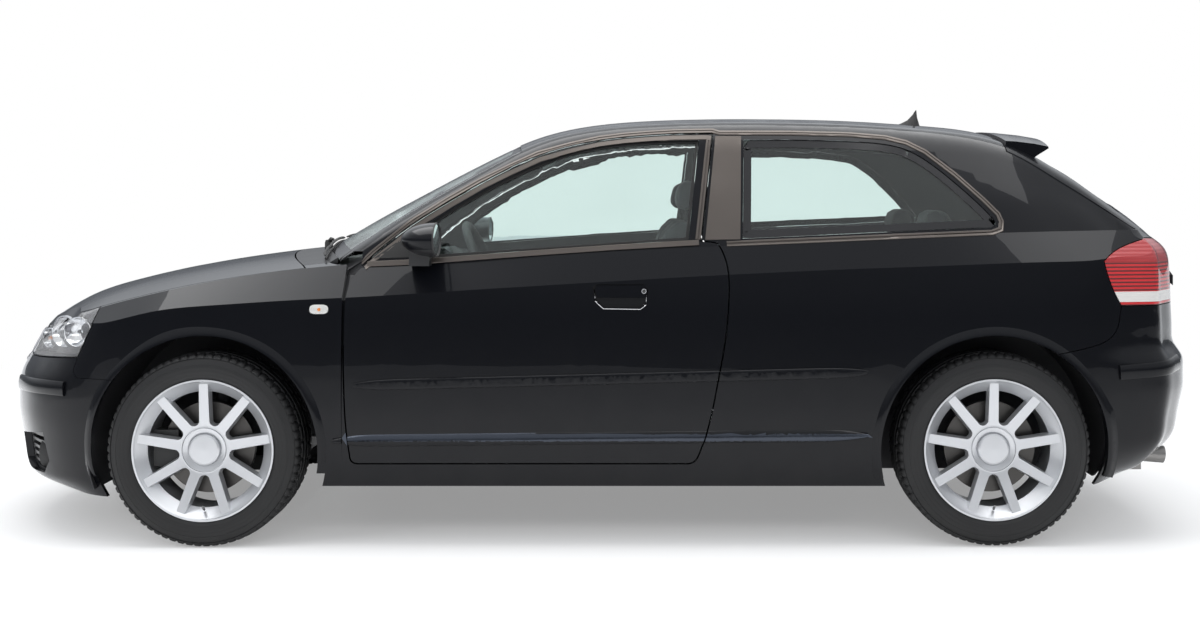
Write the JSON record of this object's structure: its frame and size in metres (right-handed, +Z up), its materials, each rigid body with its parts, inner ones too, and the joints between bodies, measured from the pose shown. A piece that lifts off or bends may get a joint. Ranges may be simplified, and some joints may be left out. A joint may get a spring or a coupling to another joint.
{
  "type": "three-door hatchback car",
  "caption": "Three-door hatchback car with turning wheels, steering, opening doors, bonnet and tailgate, and a hollow cab with seats",
  "frame": {"origin": "on the ground, below the middle of the car's length and width", "axes": "the front faces -X, the left side faces -Y, up is +Z"},
  "size_m": [4.2035, 1.976, 1.4327],
  "materials": {
    "paint": "gloss blue-black metallic paint",
    "paint_roof": "gloss blue-black metallic paint",
    "glass": "clear glass with a slight green tint",
    "lamp_front": "clear lens",
    "lamp_rear": "red lens",
    "black_plastic": "grained black plastic",
    "grille_black": "black grille bars",
    "alloy": "silver lacquered alloy wheel",
    "tyre": "black tyre rubber",
    "chassis": "dark chassis parts",
    "underbody": "dark sealed underbody",
    "exhaust_steel": "steel exhaust",
    "interior": "dark grey interior plastic",
    "seat_fabric": "dark grey seat cloth",
    "leather_black": "black leather rim"
  },
  "bodies": {
    "body": {"front_wing_left": "paint", "front_wing_right": "paint", "headlamps": "lamp_front", "front_bumper": "paint", "grille": "grille_black", "bumper_grilles": "black_plastic", "roof": "paint_roof", "body_side_left": "paint", "body_side_right": "paint", "windscreen": "glass", "quarter_glasses": "glass", "tail_lamps": "lamp_rear", "rear_bumper": "paint", "scuttle": "black_plastic", "floor_pan": "underbody", "engine_bay_frame": "underbody", "dashboard": "interior", "front_seats": "seat_fabric", "rear_seat": "seat_fabric", "front_subframe": "chassis", "rear_axle": "chassis", "engine_block": "chassis", "radiator": "chassis", "exhaust": "exhaust_steel"},
    "wheel_fl": {"wheel_front_left": "alloy", "tyre_front_left": "tyre"},
    "wheel_fr": {"wheel_front_right": "alloy", "tyre_front_right": "tyre"},
    "wheel_rl": {"wheel_rear_left": "alloy", "tyre_rear_left": "tyre"},
    "wheel_rr": {"wheel_rear_right": "alloy", "tyre_rear_right": "tyre"},
    "steer_left": {"knuckle_left": "chassis"},
    "steer_right": {"knuckle_right": "chassis"},
    "steering": {"steering_wheel": "leather_black"},
    "left_door": {"door_left": "paint", "door_glass_left": "glass", "mirror_left": "paint"},
    "right_door": {"door_right": "paint", "door_glass_right": "glass", "mirror_right": "paint"},
    "bonnet_lid": {"bonnet": "paint"},
    "tailgate_lid": {"tailgate": "paint", "tailgate_glass": "glass"}
  },
  "joints": [
    {"name": "wheel_spin_fl", "type": "hinge", "parent": "steer_left", "child": "wheel_fl", "pos_m": [-1.2385, -0.767, 0.316], "axis": [0, 1, 0], "continuous": true},
    {"name": "wheel_spin_fr", "type": "hinge", "parent": "steer_right", "child": "wheel_fr", "pos_m": [-1.2385, 0.767, 0.316], "axis": [0, 1, 0], "continuous": true},
    {"name": "wheel_spin_rl", "type": "hinge", "parent": "body", "child": "wheel_rl", "pos_m": [1.3395, -0.7535, 0.316], "axis": [0, 1, 0], "continuous": true},
    {"name": "wheel_spin_rr", "type": "hinge", "parent": "body", "child": "wheel_rr", "pos_m": [1.3395, 0.7535, 0.316], "axis": [0, 1, 0], "continuous": true},
    {"name": "kingpin_left", "type": "hinge", "parent": "body", "child": "steer_left", "pos_m": [-1.2385, -0.68, 0.316], "axis": [0, 0, 1], "range_deg": [-35, 35]},
    {"name": "kingpin_right", "type": "hinge", "parent": "body", "child": "steer_right", "pos_m": [-1.2385, 0.68, 0.316], "axis": [0, 0, 1], "range_deg": [-35, 35]},
    {"name": "steering_column", "type": "hinge", "parent": "body", "child": "steering", "pos_m": [-0.36, -0.355, 0.872], "axis": [-0.9063, 0, -0.4226], "range_deg": [-530, 530]},
    {"name": "door_hinge_left", "type": "hinge", "parent": "body", "child": "left_door", "pos_m": [-0.77, -0.877, 0.6], "axis": [0, 0, -1], "range_deg": [0, 65]},
    {"name": "door_hinge_right", "type": "hinge", "parent": "body", "child": "right_door", "pos_m": [-0.77, 0.877, 0.6], "axis": [0, 0, 1], "range_deg": [0, 65]},
    {"name": "bonnet_hinge", "type": "hinge", "parent": "body", "child": "bonnet_lid", "pos_m": [-0.925, 0, 0.95], "axis": [0, 1, 0], "range_deg": [0, 55]},
    {"name": "tailgate_hinge", "type": "hinge", "parent": "body", "child": "tailgate_lid", "pos_m": [1.446, 0, 1.392], "axis": [0, -1, 0], "range_deg": [0, 80]}
  ],
  "couplings": [
    {"joint": "kingpin_right", "follows": "kingpin_left", "ratio": 1},
    {"joint": "steering_column", "follows": "kingpin_left", "ratio": -15}
  ]
}
